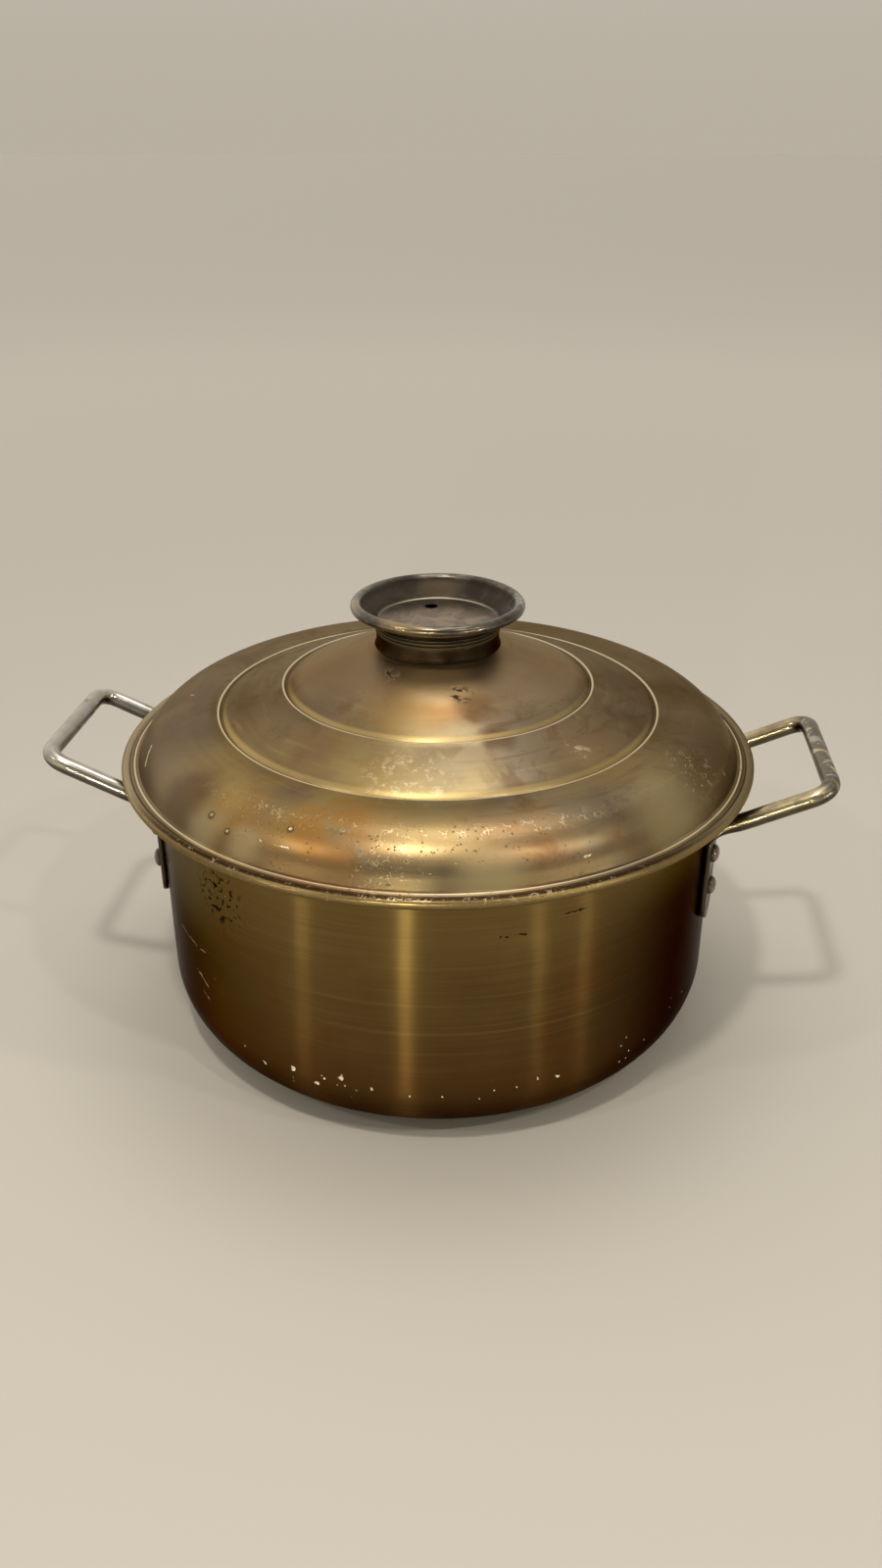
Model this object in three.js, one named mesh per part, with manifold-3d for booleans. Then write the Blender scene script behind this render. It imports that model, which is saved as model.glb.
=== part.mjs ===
// A lidded brass-toned cooking pot: a spun pot with two riveted rod handles, and a stepped lid with a
// dish-shaped knob. Millimetres, +Z up. The origin is the centre of the pot's flat underside, and the
// handles lie along +X and -X.
import * as THREE from "three";
import { mergeVertices } from "three/addons/utils/BufferGeometryUtils.js";
import Module from "manifold-3d";

const wasm = await Module();
wasm.setup();

// ---------------------------------------------------------------- driving dimensions
const GAP = 0.3; // clearance between pieces that touch on the real object
const ROUND_SEGMENTS = 48;
const KNOB_SEGMENTS = 36;
const RIVET_SEGMENTS = 12;

const POT_RADIUS = 149; // outside of the wall
const POT_HEIGHT = 155.3; // top of the rolled rim
const WALL = 2;
const BASE_THICKNESS = 2.5;
const HEEL_RADIUS = 36;
const RIM_ROLL_RADIUS = 3.2;
const RIM_ROLL_CENTRE = POT_RADIUS + 3.3;

const CREASE_HEIGHT = 153; // the raised line around the lid's edge, above the base
const CREASE_RADIUS = 160;
const LID_SHEET = 1.4;
const LID_EDGE_RADIUS = 166.5;
const LID_EDGE_ROLL = 2.7;
const SEAT_RADIUS = 34; // the flat top that carries the knob
const SEAT_RISE = 54.8; // above the crease
const INNER_GROOVE_RADIUS = 79.8;
const INNER_GROOVE_RISE = 34.5;
const OUTER_GROOVE_RADIUS = 114;
const OUTER_GROOVE_RISE = 22.3;
const GROOVE_DEPTH = 0.7;
const GROOVE_HALF_WIDTH = 0.6;
const SHOULDER_RADIUS = 157; // where the outer tier has come down to the edge

const COLLAR_RADIUS = 32;
const COLLAR_SHEET = 1.6;
const COLLAR_LIP = 0.8;
const COLLAR_LIP_HEIGHT = 2.6;
const COLLAR_HEIGHT = 11.1;
const DISH_SHEET = 1.4;
const DISH_FLOOR_RADIUS = 30;
const DISH_BEAD_RADIUS = 42; // centre line of the bead
const DISH_BEAD_TUBE = 2.8;
const DISH_BEAD_RISE = 8.9; // bead centre above the dish's underside
const VENT_RADIUS = 3.4;
const VENT_PLACE = new THREE.Vector2(-5.2, 17.3);

const ROD_RADIUS = 4.5;
const ROD_SIDES = 10;
const ROD_STEPS = 54;
const ROD_HALF_SPACING = 43.5;
const HANDLE_REACH = 201.4; // centre line of the outer bar
const HANDLE_HEIGHT = 152.8;
const ROD_SLOPE = 0.45; // rise over run of the two arms
const HANDLE_CORNER = 12;
const WALL_BEND = 9;
const PADDLE_THICKNESS = 3;
const PADDLE_HALF_WIDTH = 7.6;
const PADDLE_BOTTOM = 77;
const PADDLE_ROUND_TO = 130; // the rod is still round above this height
const PADDLE_FLAT_FROM = 122; // and fully flat below this one

const RIVET_HEIGHTS = { lower: 96, upper: 115 };
const RIVET_SHANK = 2.5;
const RIVET_HEAD_RADIUS = 4.9;
const RIVET_HEAD_HEIGHT = 3.1;
const RIVET_TAIL_RADIUS = 4.4;
const RIVET_TAIL_HEIGHT = 1.4;
const DRILL_LENGTH = 30; // well past both faces of the wall and the paddle

// ---------------------------------------------------------------- materials
const finish = (color, roughness) => new THREE.MeshStandardMaterial({ color, roughness, metalness: 1 });
const FINISHES = {
  potBrass: () => finish(0x7a5c2b, 0.34),
  lidBrass: () => finish(0x9a7440, 0.3),
  collarMetal: () => finish(0x3a2c18, 0.4),
  knobMetal: () => finish(0x6a655c, 0.32),
  handleChrome: () => finish(0xb9b4a6, 0.18),
  rivetMetal: () => finish(0x8d8880, 0.35),
};

// ---------------------------------------------------------------- helpers
const point = (r, z) => new THREE.Vector2(r, z);

// Points of an arc about (r, z), from one angle to another in degrees. 0 points outwards and 90 up.
function arc(r, z, radius, from, to, steps) {
  return Array.from({ length: steps + 1 }, (_, i) => {
    const angle = THREE.MathUtils.degToRad(from + ((to - from) * i) / steps);
    return point(r + radius * Math.cos(angle), z + radius * Math.sin(angle));
  });
}

// A solid of revolution about +Z. Its profile runs outwards underneath and comes back over the top.
function revolve(profile, segments) {
  return new THREE.LatheGeometry(profile, segments).rotateX(Math.PI / 2);
}

function toSolid(geometry) {
  const bare = geometry.clone();
  bare.deleteAttribute("normal");
  bare.deleteAttribute("uv");
  const merged = mergeVertices(bare, 1e-4);
  return new wasm.Manifold(
    new wasm.Mesh({
      numProp: 3,
      vertProperties: merged.attributes.position.array,
      triVerts: new Uint32Array(merged.index.array),
    }),
  );
}

function toGeometry(solid) {
  const mesh = solid.getMesh();
  const geometry = new THREE.BufferGeometry();
  geometry.setAttribute("position", new THREE.BufferAttribute(mesh.vertProperties, 3));
  geometry.setIndex(new THREE.BufferAttribute(mesh.triVerts, 1));
  geometry.computeVertexNormals();
  return geometry;
}

// The geometry with every cutter taken out of it.
function drill(geometry, cutters) {
  return toGeometry(cutters.reduce((solid, cutter) => solid.subtract(toSolid(cutter)), toSolid(geometry)));
}

// ---------------------------------------------------------------- handle and rivet places
const PADDLE_BACK = POT_RADIUS + GAP;
const PADDLE_MIDDLE = PADDLE_BACK + PADDLE_THICKNESS / 2;
const PADDLE_ANGLE = Math.asin(ROD_HALF_SPACING / PADDLE_MIDDLE);

const RIVET_PLACES = ["right", "left"].flatMap((side) =>
  ["front", "back"].flatMap((end) =>
    ["upper", "lower"].map((level) => {
      const turn = end === "front" ? -PADDLE_ANGLE : PADDLE_ANGLE;
      return {
        name: `rivet_${side}_${end}_${level}`,
        side,
        angle: side === "right" ? turn : Math.PI - turn,
        height: RIVET_HEIGHTS[level],
      };
    }),
  ),
);

// A geometry made along +Z, laid along the radial line at this angle and height.
function alongRadius(geometry, angle, height) {
  return geometry.rotateY(Math.PI / 2).rotateZ(angle).translate(0, 0, height);
}

function rivetDrill({ angle, height }) {
  const radius = RIVET_SHANK + GAP;
  const cutter = new THREE.CylinderGeometry(radius, radius, DRILL_LENGTH, RIVET_SEGMENTS).rotateX(Math.PI / 2);
  return alongRadius(cutter.translate(0, 0, POT_RADIUS), angle, height);
}

// ---------------------------------------------------------------- pieces
function potBody() {
  const inside = POT_RADIUS - WALL;
  const heelInside = HEEL_RADIUS - WALL;
  const rollHeight = POT_HEIGHT - RIM_ROLL_RADIUS;
  const profile = [
    point(0, 0),
    ...arc(POT_RADIUS - HEEL_RADIUS, HEEL_RADIUS, HEEL_RADIUS, -90, 0, 7),
    point(POT_RADIUS, rollHeight - RIM_ROLL_RADIUS),
    ...arc(RIM_ROLL_CENTRE, rollHeight, RIM_ROLL_RADIUS, -110, 100, 8),
    point(inside + 1, POT_HEIGHT - 1.2),
    point(inside, POT_HEIGHT - 3),
    ...arc(inside - heelInside, BASE_THICKNESS + heelInside, heelInside, 0, -90, 6),
    point(0, BASE_THICKNESS),
  ];
  return drill(revolve(profile, ROUND_SEGMENTS), RIVET_PLACES.map(rivetDrill));
}

// One tier's outer line: a gentle cone whose last few millimetres roll over into the groove.
function tier([fromRadius, fromRise], [toRadius, toRise], coneShare, shares) {
  return shares.map((share) => {
    const drop = coneShare * share + (1 - coneShare) * share ** 12;
    return point(
      THREE.MathUtils.lerp(fromRadius, toRadius, share),
      CREASE_HEIGHT + THREE.MathUtils.lerp(fromRise, toRise, drop),
    );
  });
}

// The outer tier is a pillow that stays high and then comes down steeply to the edge.
function outerTier(toRadius, inset) {
  const fromRadius = OUTER_GROOVE_RADIUS + GROOVE_HALF_WIDTH;
  return [0, 0.22, 0.42, 0.58, 0.72, 0.83, 0.91, 0.965].map((share) => {
    const height = (1 - share ** 3.4) ** 0.75;
    return point(
      THREE.MathUtils.lerp(fromRadius, toRadius, share),
      CREASE_HEIGHT + 1 + (OUTER_GROOVE_RISE - 1) * height - inset,
    );
  });
}

function lidShell() {
  const innerFoot = [INNER_GROOVE_RADIUS - GROOVE_HALF_WIDTH, INNER_GROOVE_RISE - GROOVE_DEPTH];
  const outerFoot = [OUTER_GROOVE_RADIUS - GROOVE_HALF_WIDTH, OUTER_GROOVE_RISE - GROOVE_DEPTH];
  const innerCrest = [INNER_GROOVE_RADIUS + GROOVE_HALF_WIDTH, INNER_GROOVE_RISE];
  const rollCentre = LID_EDGE_RADIUS - LID_EDGE_ROLL;
  const rollHeight = CREASE_HEIGHT - 1.9;
  const top = [
    ...arc(rollCentre, rollHeight, LID_EDGE_ROLL, -120, 140, 9),
    point(CREASE_RADIUS + 1, CREASE_HEIGHT - 0.9),
    point(CREASE_RADIUS, CREASE_HEIGHT),
    point(SHOULDER_RADIUS + 1, CREASE_HEIGHT + 0.5),
    ...outerTier(SHOULDER_RADIUS, 0).reverse(),
    ...tier(innerCrest, outerFoot, 0.7, [0, 0.45, 0.8, 0.94, 1]).reverse(),
    ...tier([SEAT_RADIUS, SEAT_RISE], innerFoot, 0.8, [0, 0.5, 0.84, 0.95, 1]).reverse(),
    point(0, CREASE_HEIGHT + SEAT_RISE),
  ];
  const under = [
    point(0, CREASE_HEIGHT + SEAT_RISE - LID_SHEET),
    point(SEAT_RADIUS - LID_SHEET / 2, CREASE_HEIGHT + SEAT_RISE - LID_SHEET),
    point(INNER_GROOVE_RADIUS - 6, CREASE_HEIGHT + INNER_GROOVE_RISE + 1.6),
    point(INNER_GROOVE_RADIUS, CREASE_HEIGHT + INNER_GROOVE_RISE - GROOVE_DEPTH - LID_SHEET),
    point(OUTER_GROOVE_RADIUS - 6, CREASE_HEIGHT + OUTER_GROOVE_RISE + 0.6),
    ...outerTier(SHOULDER_RADIUS - LID_SHEET - 0.4, LID_SHEET),
    point(SHOULDER_RADIUS - LID_SHEET, CREASE_HEIGHT + 0.6),
    point(SHOULDER_RADIUS + 1, CREASE_HEIGHT - LID_SHEET),
    point(CREASE_RADIUS + 0.6, CREASE_HEIGHT - LID_SHEET - 0.9),
  ];
  return revolve([...under, ...top], ROUND_SEGMENTS);
}

const SEAT_HEIGHT = CREASE_HEIGHT + SEAT_RISE;
const COLLAR_FOOT = SEAT_HEIGHT + GAP;
const COLLAR_TOP = COLLAR_FOOT + COLLAR_HEIGHT;
const DISH_UNDERSIDE = COLLAR_TOP + GAP;

function knobCollar() {
  const inside = COLLAR_RADIUS - COLLAR_SHEET;
  const lipFoot = COLLAR_TOP - COLLAR_LIP_HEIGHT;
  const profile = [
    point(inside, COLLAR_FOOT),
    point(COLLAR_RADIUS, COLLAR_FOOT),
    point(COLLAR_RADIUS, lipFoot - 0.5),
    point(COLLAR_RADIUS + COLLAR_LIP, lipFoot),
    point(COLLAR_RADIUS + COLLAR_LIP, COLLAR_TOP - 0.5),
    point(COLLAR_RADIUS + COLLAR_LIP - 0.5, COLLAR_TOP),
    point(inside, COLLAR_TOP),
    point(inside, COLLAR_FOOT),
  ];
  return revolve(profile, KNOB_SEGMENTS);
}

function knobDish() {
  const beadHeight = DISH_UNDERSIDE + DISH_BEAD_RISE;
  const floor = DISH_UNDERSIDE + DISH_SHEET;
  const profile = [
    point(0, DISH_UNDERSIDE),
    point(DISH_FLOOR_RADIUS, DISH_UNDERSIDE),
    point(DISH_FLOOR_RADIUS + 2.4, DISH_UNDERSIDE + 0.9),
    point(DISH_BEAD_RADIUS - 3, beadHeight - 2.4),
    ...arc(DISH_BEAD_RADIUS, beadHeight, DISH_BEAD_TUBE, -125, 165, 10),
    point(DISH_FLOOR_RADIUS + 2, floor + 1.5),
    point(DISH_FLOOR_RADIUS, floor),
    point(0, floor),
  ];
  const vent = new THREE.CylinderGeometry(VENT_RADIUS, VENT_RADIUS, DRILL_LENGTH, RIVET_SEGMENTS);
  vent.rotateX(Math.PI / 2);
  vent.translate(VENT_PLACE.x, VENT_PLACE.y, floor);
  return drill(revolve(profile, KNOB_SEGMENTS), [vent]);
}

// A path through these corners, with each inner corner rounded from and to this distance away.
function roundedPath(corners, setbacks) {
  const path = new THREE.CurvePath();
  let from = corners[0];
  for (let i = 1; i < corners.length - 1; i++) {
    const corner = corners[i];
    const arrive = corner.clone().lerp(corners[i - 1], setbacks[i - 1] / corner.distanceTo(corners[i - 1]));
    const leave = corner.clone().lerp(corners[i + 1], setbacks[i - 1] / corner.distanceTo(corners[i + 1]));
    path.add(new THREE.LineCurve3(from, arrive));
    path.add(new THREE.QuadraticBezierCurve3(arrive, corner, leave));
    from = leave;
  }
  path.add(new THREE.LineCurve3(from, corners.at(-1)));
  return path;
}

// The rod's ends as a forge leaves them: below the bend each vertex moves towards a flat, wide
// section that lies on the wall, with a round lower end.
function forgePaddles(geometry) {
  const position = geometry.attributes.position;
  for (let i = 0; i < position.count; i++) {
    const z = position.getZ(i);
    if (z >= PADDLE_ROUND_TO) continue;
    const side = Math.sign(position.getY(i));
    const out = new THREE.Vector2(Math.cos(PADDLE_ANGLE), side * Math.sin(PADDLE_ANGLE));
    const along = new THREE.Vector2(-out.y, out.x);
    const place = new THREE.Vector2(position.getX(i), position.getY(i));
    const flat = 1 - THREE.MathUtils.smoothstep(z, PADDLE_FLAT_FROM, PADDLE_ROUND_TO);
    const radial = place.dot(out) - PADDLE_MIDDLE;
    const sideways = place.dot(along);
    const pressed = THREE.MathUtils.clamp(radial * 0.75, -PADDLE_THICKNESS / 2, PADDLE_THICKNESS / 2);
    const fromEnd = Math.min(1, Math.max(0, z - PADDLE_BOTTOM) / PADDLE_HALF_WIDTH);
    const roundEnd = Math.max(0.35, Math.sqrt(1 - (1 - fromEnd) ** 2));
    const widen = THREE.MathUtils.lerp(1, (PADDLE_HALF_WIDTH / ROD_RADIUS) * roundEnd, flat);
    const newPlace = out
      .multiplyScalar(PADDLE_MIDDLE + THREE.MathUtils.lerp(radial, pressed, flat))
      .addScaledVector(along, sideways * widen);
    position.setXY(i, newPlace.x, newPlace.y);
  }
  return geometry;
}

// The handle on the +X side. The left one is the same piece turned half round.
function handle() {
  const armFoot = Math.sqrt((PADDLE_BACK + ROD_RADIUS) ** 2 - ROD_HALF_SPACING ** 2);
  const paddleFoot = Math.sqrt(PADDLE_MIDDLE ** 2 - ROD_HALF_SPACING ** 2);
  const bendHeight = HANDLE_HEIGHT - (HANDLE_REACH - armFoot) * ROD_SLOPE;
  const arm = [
    [paddleFoot, PADDLE_BOTTOM],
    [paddleFoot, PADDLE_FLAT_FROM - 2],
    [armFoot, bendHeight],
    [HANDLE_REACH, HANDLE_HEIGHT],
  ];
  const back = arm.map(([x, z]) => new THREE.Vector3(x, ROD_HALF_SPACING, z));
  const front = arm.map(([x, z]) => new THREE.Vector3(x, -ROD_HALF_SPACING, z)).reverse();
  const bend = WALL_BEND * 0.65;
  const path = roundedPath([...back, ...front], [4, bend, HANDLE_CORNER, HANDLE_CORNER, bend, 4]);
  const section = new THREE.Shape().absarc(0, 0, ROD_RADIUS, 0, 2 * Math.PI);
  const rod = new THREE.ExtrudeGeometry(section, {
    steps: ROD_STEPS,
    extrudePath: path,
    curveSegments: ROD_SIDES / 2, // an arc gets twice as many
  });
  const places = RIVET_PLACES.filter(({ side }) => side === "right");
  return drill(forgePaddles(rod), places.map(rivetDrill));
}

// A rivet along +Z from the pot's axis: the set tail inside the wall, the shank, and the dome outside.
function rivet({ angle, height }) {
  const tail = POT_RADIUS - WALL - 2 * GAP; // flat, so it stands a little clear of the curved wall
  const head = PADDLE_BACK + PADDLE_THICKNESS + GAP;
  const dome = [0.35, 0.62, 0.86].map((share) =>
    point(RIVET_HEAD_RADIUS * Math.sqrt(1 - share ** 2), head + RIVET_HEAD_HEIGHT * share),
  );
  const profile = [
    point(0, tail - RIVET_TAIL_HEIGHT),
    point(RIVET_TAIL_RADIUS * 0.7, tail - RIVET_TAIL_HEIGHT),
    point(RIVET_TAIL_RADIUS, tail - 0.4),
    point(RIVET_TAIL_RADIUS, tail),
    point(RIVET_SHANK, tail),
    point(RIVET_SHANK, head),
    point(RIVET_HEAD_RADIUS, head),
    ...dome,
    point(0, head + RIVET_HEAD_HEIGHT),
  ];
  return alongRadius(revolve(profile, RIVET_SEGMENTS), angle, height);
}

// ---------------------------------------------------------------- assembly
const part = new THREE.Group();

function add(name, geometry, material, parent = part) {
  const mesh = new THREE.Mesh(geometry, material);
  mesh.name = name;
  parent.add(mesh);
  return mesh;
}

const pot = new THREE.Group();
add("pot_body", potBody(), FINISHES.potBrass(), pot);
add("handle_right", handle(), FINISHES.handleChrome(), pot);
add("handle_left", handle(), FINISHES.handleChrome(), pot).rotation.z = Math.PI;
for (const place of RIVET_PLACES) add(place.name, rivet(place), FINISHES.rivetMetal(), pot);

const lid = new THREE.Group();
add("lid_shell", lidShell(), FINISHES.lidBrass(), lid);
add("knob_collar", knobCollar(), FINISHES.collarMetal(), lid);
add("knob_dish", knobDish(), FINISHES.knobMetal(), lid);

part.add(pot, lid);

export default part;
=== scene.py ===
"""A lidded brass-toned cooking pot: the fine meshes and metal finishes that stand for its CAD nodes.

Lengths are written in millimetres and turned into metres by MM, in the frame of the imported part: +Z up,
the origin at the centre of the pot's underside, the handles along +X and -X, the front towards -Y.
"""

import math

import bmesh
import bpy
from mathutils import Matrix, Vector, noise


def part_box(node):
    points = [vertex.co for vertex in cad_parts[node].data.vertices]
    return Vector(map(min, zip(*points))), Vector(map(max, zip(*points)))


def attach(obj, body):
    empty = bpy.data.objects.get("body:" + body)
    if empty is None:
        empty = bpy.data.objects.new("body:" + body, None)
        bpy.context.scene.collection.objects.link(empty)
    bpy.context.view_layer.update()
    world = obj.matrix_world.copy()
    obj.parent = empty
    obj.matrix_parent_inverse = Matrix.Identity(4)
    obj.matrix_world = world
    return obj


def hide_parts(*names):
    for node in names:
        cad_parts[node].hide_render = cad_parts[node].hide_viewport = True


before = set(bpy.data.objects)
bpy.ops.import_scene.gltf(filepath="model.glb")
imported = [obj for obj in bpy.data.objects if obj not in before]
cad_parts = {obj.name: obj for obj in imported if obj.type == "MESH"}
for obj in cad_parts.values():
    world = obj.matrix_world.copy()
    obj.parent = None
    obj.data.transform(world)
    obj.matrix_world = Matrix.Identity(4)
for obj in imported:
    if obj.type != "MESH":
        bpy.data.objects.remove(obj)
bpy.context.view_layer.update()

MM = 0.001

# ---------------- sizes, in millimetres
LID_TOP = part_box("lid_shell")[1].z / MM
DISH_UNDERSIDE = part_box("knob_dish")[0].z / MM
COLLAR_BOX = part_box("knob_collar")

POT_RADIUS = 149
POT_HEIGHT = 155.3
WALL = 2
BASE_THICKNESS = 2.5
HEEL_RADIUS = 36
RIM_ROLL = 3.2
RIM_ROLL_CENTRE = POT_RADIUS + 3.3

SEAT_RADIUS = 34
SEAT_RISE = 54.8
CREASE_HEIGHT = LID_TOP - SEAT_RISE
INNER_GROOVE = (79.8, 34.5)  # radius, and rise above the crease
OUTER_GROOVE = (114, 22.3)
GROOVE_DEPTH = 0.7
SHOULDER_RADIUS = 157
LID_SHEET = 1.4
LID_EDGE_RADIUS = 166.5
LID_EDGE_ROLL = 2.7

COLLAR_RADIUS = 32
COLLAR_INSIDE = 30.4
DISH_SHEET = 1.4
DISH_FLOOR_RADIUS = 30
BEAD_RADIUS = 42
BEAD_TUBE = 2.8
BEAD_RISE = 8.9
VENT_RADIUS = 3.4
VENT_PLACE = (-5.2, 17.3)

ROD_RADIUS = 4.5
ROD_HALF_SPACING = 43.5
HANDLE_REACH = 201.4
HANDLE_HEIGHT = 152.8
ROD_SLOPE = 0.45
HANDLE_CORNER = 12
WALL_BEND = 5.85
PADDLE_BACK = POT_RADIUS + 0.3
PADDLE_THICKNESS = 3
PADDLE_MIDDLE = PADDLE_BACK + PADDLE_THICKNESS / 2
PADDLE_HALF_WIDTH = 7.6
PADDLE_BOTTOM = 77
PADDLE_FLAT_FROM = 122
PADDLE_ROUND_TO = 130
PADDLE_ANGLE = math.asin(ROD_HALF_SPACING / PADDLE_MIDDLE)
RIVET_HEIGHTS = {"lower": 96, "upper": 115}
RIVET_HEAD = (4.9, 3.1)  # radius and height
RIVET_TAIL = (4.4, 1.4)
RIVET_SHANK = 2.4
RIVET_DOME_POWER = 2.4  # how full the dome is
MARKS_TURN = 2.4  # degrees from the marks' own zero to the handles' axis

# ---------------- fineness
WIDE_SEGMENTS = 256  # around the pot and the lid
DISH_SEGMENTS = 160
COLLAR_SEGMENTS = 128
SMALL_SEGMENTS = 32  # around a rivet and the vent
ROD_SIDES = 28
CORNER_STEPS = 12
PATH_STEP = 2.2  # millimetres between rings on a rod's straight stretches
SHARP_DEGREES = 40  # faces that meet more sharply than this keep their edge
ROD_SHARP_DEGREES = 55


def lerp(a, b, share):
    return a + (b - a) * share


def smoothstep(x, low, high):
    share = min(1.0, max(0.0, (x - low) / (high - low)))
    return share * share * (3 - 2 * share)


def place(degrees, radius, height):
    """The point, in metres, at this angle on the marks' circle, this far out and this high."""
    angle = math.radians(degrees + MARKS_TURN)
    return Vector((radius * math.cos(angle), radius * math.sin(angle), height)) * MM


# ---------------- mesh helpers
def arc(r, z, radius, start, end, steps):
    """Points of an arc in a profile. 0 degrees points outwards and 90 up."""
    angles = [math.radians(lerp(start, end, i / steps)) for i in range(steps + 1)]
    return [(r + radius * math.cos(a), z + radius * math.sin(a)) for a in angles]


def line(start, end, steps):
    """The points of a straight stretch between two profile points, without its ends."""
    shares = [i / steps for i in range(1, steps)]
    return [(lerp(start[0], end[0], s), lerp(start[1], end[1], s)) for s in shares]


def smooth(mesh, sharp_degrees):
    mesh.shade_smooth()
    mesh.set_sharp_from_angle(angle=math.radians(sharp_degrees))


def new_object(name, vertices, faces, sharp_degrees=SHARP_DEGREES):
    mesh = bpy.data.meshes.new(name)
    mesh.from_pydata(vertices, [], faces)
    work = bmesh.new()
    work.from_mesh(mesh)
    bmesh.ops.recalc_face_normals(work, faces=work.faces)
    work.to_mesh(mesh)
    work.free()
    smooth(mesh, sharp_degrees)
    made = bpy.data.objects.new(name, mesh)
    bpy.context.scene.collection.objects.link(made)
    return made


def lathe(name, profile, segments, closed=False, shift=None):
    """A solid of revolution about Z. shift(angle, r, z) gives a point its own (r, z), for dents and waves."""
    vertices = []
    rings = []
    for r, z in profile:
        count = segments if r > 0 else 1
        rings.append(range(len(vertices), len(vertices) + count))
        for i in range(count):
            angle = 2 * math.pi * i / segments
            radius, height = shift(angle, r, z) if shift else (r, z)
            vertices.append((radius * math.cos(angle) * MM, radius * math.sin(angle) * MM, height * MM))
    faces = []
    pairs = list(zip(rings, rings[1:]))
    if closed:
        pairs.append((rings[-1], rings[0]))
    for lower, upper in pairs:
        for i in range(segments):
            j = (i + 1) % segments
            if len(lower) == 1:
                faces.append((lower[0], upper[i], upper[j]))
            elif len(upper) == 1:
                faces.append((lower[i], lower[j], upper[0]))
            else:
                faces.append((lower[i], lower[j], upper[j], upper[i]))
    return new_object(name, vertices, faces)


def cut(piece, cutter):
    """Takes the cutter's shape out of the piece, and removes the cutter."""
    modifier = piece.modifiers.new("cut", "BOOLEAN")
    modifier.operation = "DIFFERENCE"
    modifier.solver = "EXACT"
    modifier.object = cutter
    bpy.context.view_layer.update()
    evaluated = piece.evaluated_get(bpy.context.evaluated_depsgraph_get())
    mesh = bpy.data.meshes.new_from_object(evaluated)
    piece.modifiers.clear()
    piece.data = mesh
    bpy.data.objects.remove(cutter)


def waves(angle, z, size, count, seed):
    """A smooth unevenness of up to about this size: count waves around, and as long up and down."""
    reach = count / (2 * math.pi)
    point = Vector((reach * math.cos(angle), reach * math.sin(angle), z * reach / POT_RADIUS + seed))
    return size * noise.noise(point)


# ---------------- pot
def pot_shape(angle, r, z):
    """The spun wall is a little uneven, but true at the rim and the base."""
    share = smoothstep(z, 8, 40) * (1 - smoothstep(z, 130, 148))
    share *= smoothstep(r, 120, 140)
    return r + share * (waves(angle, z, 0.35, 9, 3) + waves(angle, z, 0.16, 26, 8)), z


def build_pot():
    inside = POT_RADIUS - WALL
    heel_inside = HEEL_RADIUS - WALL
    roll_height = POT_HEIGHT - RIM_ROLL
    wall_top = (POT_RADIUS, roll_height - RIM_ROLL)
    floor_edge = (inside - heel_inside, BASE_THICKNESS)
    profile = [
        (0, 0),
        *line((0, 0), (POT_RADIUS - HEEL_RADIUS, 0), 6),
        *arc(POT_RADIUS - HEEL_RADIUS, HEEL_RADIUS, HEEL_RADIUS, -90, 0, 24),
        *line((POT_RADIUS, HEEL_RADIUS), wall_top, 36),
        wall_top,
        *arc(RIM_ROLL_CENTRE, roll_height, RIM_ROLL, -110, 100, 20),
        (inside + 1, POT_HEIGHT - 1.2),
        (inside, POT_HEIGHT - 3),
        *line((inside, POT_HEIGHT - 3), (inside, BASE_THICKNESS + heel_inside), 30),
        *arc(inside - heel_inside, BASE_THICKNESS + heel_inside, heel_inside, 0, -90, 18),
        *line(floor_edge, (0, BASE_THICKNESS), 8),
        (0, BASE_THICKNESS),
    ]
    return lathe("pot_shell", profile, WIDE_SEGMENTS, shift=pot_shape)


# ---------------- lid
INNER_CONE = 0.93  # the share of each tier's drop that is a plain cone
OUTER_CONE = 0.86
GROOVE_FOOT = 0.6  # from a groove's middle to the foot of the tier above it
TIER_CROWDING = 2.2  # how closely the points crowd towards the groove
TIER_ROLL = 14  # how suddenly the tier rolls over at its end
PILLOW_END = 0.975  # how far towards the shoulder the pillow's own curve runs
PILLOW_HOLD = 3.4  # how long it stays high
PILLOW_FALL = 0.75  # how steeply it then comes down
LID_DENTS = ((-128, 140, 11, 0.9), (-45, 104, 9, 0.5))  # degrees, radius, width, depth


def tier(start, end, cone_share, steps, lower=0):
    """A cone between two (radius, rise) points, whose last few millimetres roll over into the groove."""
    points = []
    for i in range(steps + 1):
        share = 1 - (1 - i / steps) ** TIER_CROWDING
        drop = cone_share * share + (1 - cone_share) * share**TIER_ROLL
        points.append((lerp(start[0], end[0], share), CREASE_HEIGHT + lerp(start[1], end[1], drop) - lower))
    return points


def outer_tier(start_radius, end_radius, lower, steps):
    """The outer tier is a pillow that stays high and then comes down steeply to the edge."""
    points = []
    for i in range(steps + 1):
        share = PILLOW_END * math.sin(math.pi / 2 * i / steps)
        height = (1 - share**PILLOW_HOLD) ** PILLOW_FALL
        rise = 1 + (OUTER_GROOVE[1] - 1) * height
        points.append((lerp(start_radius, end_radius, share), CREASE_HEIGHT + rise - lower))
    return points


def groove(radius, rise):
    """The turned line between two tiers: a narrow valley, then the small raised crest of the next tier."""
    section = [(-0.3, -0.7), (0, -0.72), (0.3, -0.45), (0.6, -0.05), (0.95, 0.12), (1.35, 0.1), (1.8, 0)]
    return [(radius + dr, CREASE_HEIGHT + rise + dz) for dr, dz in section]


def lid_shape(angle, r, z):
    """The lid's tiers are a little uneven, and two shallow dents lie at its front left."""
    share = smoothstep(r, 36, 50) * (1 - smoothstep(r, 150, 157))
    height = z + share * (waves(angle, r, 0.3, 7, 15) + waves(angle, r, 0.14, 22, 21))
    for degrees, radius, width, depth in LID_DENTS:
        away = (place(math.degrees(angle), r, 0) - place(degrees, radius, 0)).length / MM
        height -= depth * math.exp(-((away / width) ** 2))
    return r, height


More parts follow.
